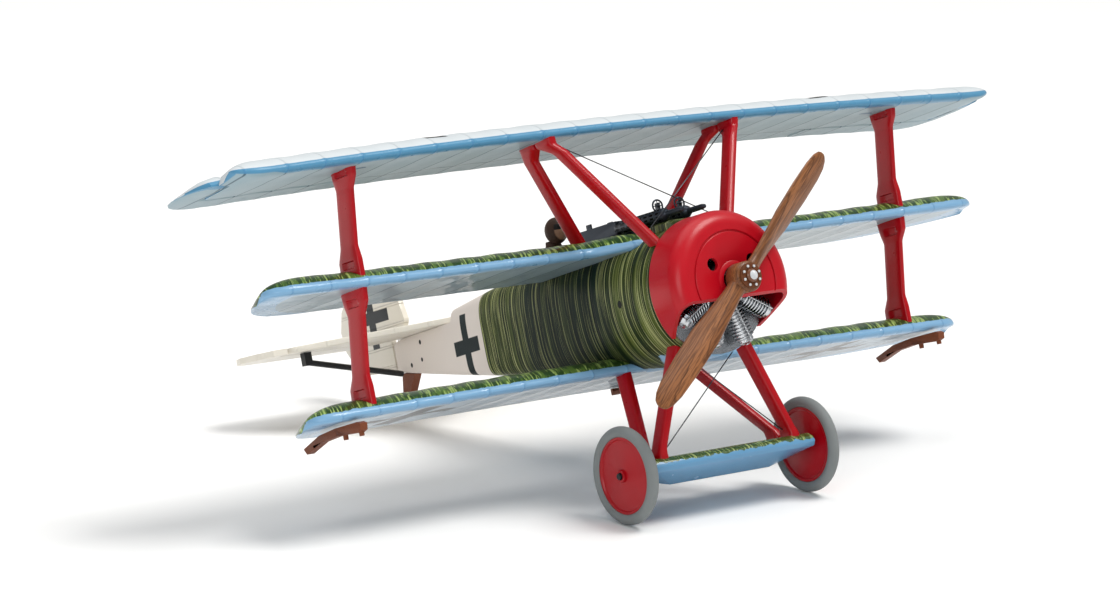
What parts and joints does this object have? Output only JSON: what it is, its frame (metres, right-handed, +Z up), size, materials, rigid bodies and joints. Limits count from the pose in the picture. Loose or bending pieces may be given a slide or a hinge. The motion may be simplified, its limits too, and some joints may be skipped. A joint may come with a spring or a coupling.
{
  "type": "propeller plane model",
  "caption": "Standing scale model of a rotary-engined fighter triplane, with a free-turning propeller, rolling wheels and hinged control surfaces.",
  "frame": {"origin": "centre of the model's footprint, on the plane that the tyres and the tail skid stand on", "axes": "+X to the port side, +Y aft, +Z up; the thrust line is tipped 18 degrees nose-up about X, as the model stands"},
  "size_m": [0.1498, 0.1142, 0.058],
  "materials": {
    "camouflage": "semi-gloss streaked green",
    "cream_paint": "satin cream white",
    "sky_blue": "semi-gloss light blue",
    "red_paint": "satin red",
    "red_plastic": "glossy red",
    "brown_plastic": "satin wood brown",
    "propeller_wood": "varnished laminations",
    "steel": "turned steel",
    "chrome": "bright plated",
    "black_steel": "satin black",
    "gunmetal": "dry-brushed gunmetal",
    "leather": "matt brown leather",
    "tyre": "matt mid grey",
    "wire": "dull wire"
  },
  "bodies": {
    "airframe": {"fuselage": "camouflage", "cockpit_coaming": "leather", "pilot_seat": "brown_plastic", "pilot_body": "leather", "pilot_head": "leather", "ammunition_hump": "camouflage", "engine_cowling": "red_paint", "firewall": "steel", "crankcase": "steel", "cylinder_1": "chrome", "cylinder_2": "chrome", "cylinder_3": "chrome", "cylinder_4": "chrome", "cylinder_5": "chrome", "cylinder_6": "chrome", "cylinder_7": "chrome", "cylinder_8": "chrome", "cylinder_9": "chrome", "top_wing": "sky_blue", "middle_wing": "camouflage", "lower_wing": "camouflage", "upper_strut_port": "red_plastic", "upper_strut_starboard": "red_plastic", "lower_strut_port": "red_plastic", "lower_strut_starboard": "red_plastic", "cabane_front_port": "red_plastic", "cabane_front_starboard": "red_plastic", "cabane_rear_port": "red_plastic", "cabane_rear_starboard": "red_plastic", "cabane_wire_1": "wire", "cabane_wire_2": "wire", "gear_front_port": "red_plastic", "gear_front_starboard": "red_plastic", "gear_rear_port": "red_plastic", "gear_rear_starboard": "red_plastic", "gear_wire_1": "wire", "gear_wire_2": "wire", "axle_wing": "camouflage", "axle": "black_steel", "tailplane": "cream_paint", "tail_strut_port": "black_steel", "tail_strut_starboard": "black_steel", "tail_skid": "brown_plastic", "wing_skid_port": "brown_plastic", "wing_skid_starboard": "brown_plastic", "machine_gun_port": "gunmetal", "machine_gun_starboard": "gunmetal", "boarding_step": "brown_plastic"},
    "propeller": {"propeller": "propeller_wood", "propeller_shaft": "steel", "hub_plate": "steel", "propeller_nut": "steel"},
    "wheel_port": {"tyre_port": "tyre", "wheel_disc_port": "red_plastic"},
    "wheel_starboard": {"tyre_starboard": "tyre", "wheel_disc_starboard": "red_plastic"},
    "aileron_port": {"aileron_port": "sky_blue"},
    "aileron_starboard": {"aileron_starboard": "sky_blue"},
    "elevator": {"elevator": "cream_paint"},
    "rudder": {"rudder": "cream_paint"}
  },
  "joints": [
    {"name": "propeller_spin", "type": "hinge", "parent": "airframe", "child": "propeller", "pos_m": [0, -0.04934, 0.03546], "axis": [0, 0.9511, -0.309], "continuous": true},
    {"name": "wheel_port_spin", "type": "hinge", "parent": "airframe", "child": "wheel_port", "pos_m": [0.01754, -0.04581, 0.00742], "axis": [1, 0, 0], "continuous": true},
    {"name": "wheel_starboard_spin", "type": "hinge", "parent": "airframe", "child": "wheel_starboard", "pos_m": [-0.01754, -0.04581, 0.00742], "axis": [1, 0, 0], "continuous": true},
    {"name": "aileron_port_hinge", "type": "hinge", "parent": "airframe", "child": "aileron_port", "pos_m": [0.0596, -0.01382, 0.05126], "axis": [0.9997, -0.0077, -0.0236], "range_deg": [-20, 20]},
    {"name": "aileron_starboard_hinge", "type": "hinge", "parent": "airframe", "child": "aileron_starboard", "pos_m": [-0.0596, -0.01382, 0.05126], "axis": [0.9997, 0.0077, 0.0236], "range_deg": [-20, 20]},
    {"name": "elevator_hinge", "type": "hinge", "parent": "airframe", "child": "elevator", "pos_m": [0, 0.0403, 0.01296], "axis": [1, 0, 0], "range_deg": [-25, 25]},
    {"name": "rudder_hinge", "type": "hinge", "parent": "airframe", "child": "rudder", "pos_m": [0, 0.04013, 0.00955], "axis": [0, 0.309, 0.9511], "range_deg": [-25, 25]}
  ],
  "couplings": [
    {"joint": "aileron_starboard_hinge", "follows": "aileron_port_hinge", "ratio": -1}
  ]
}
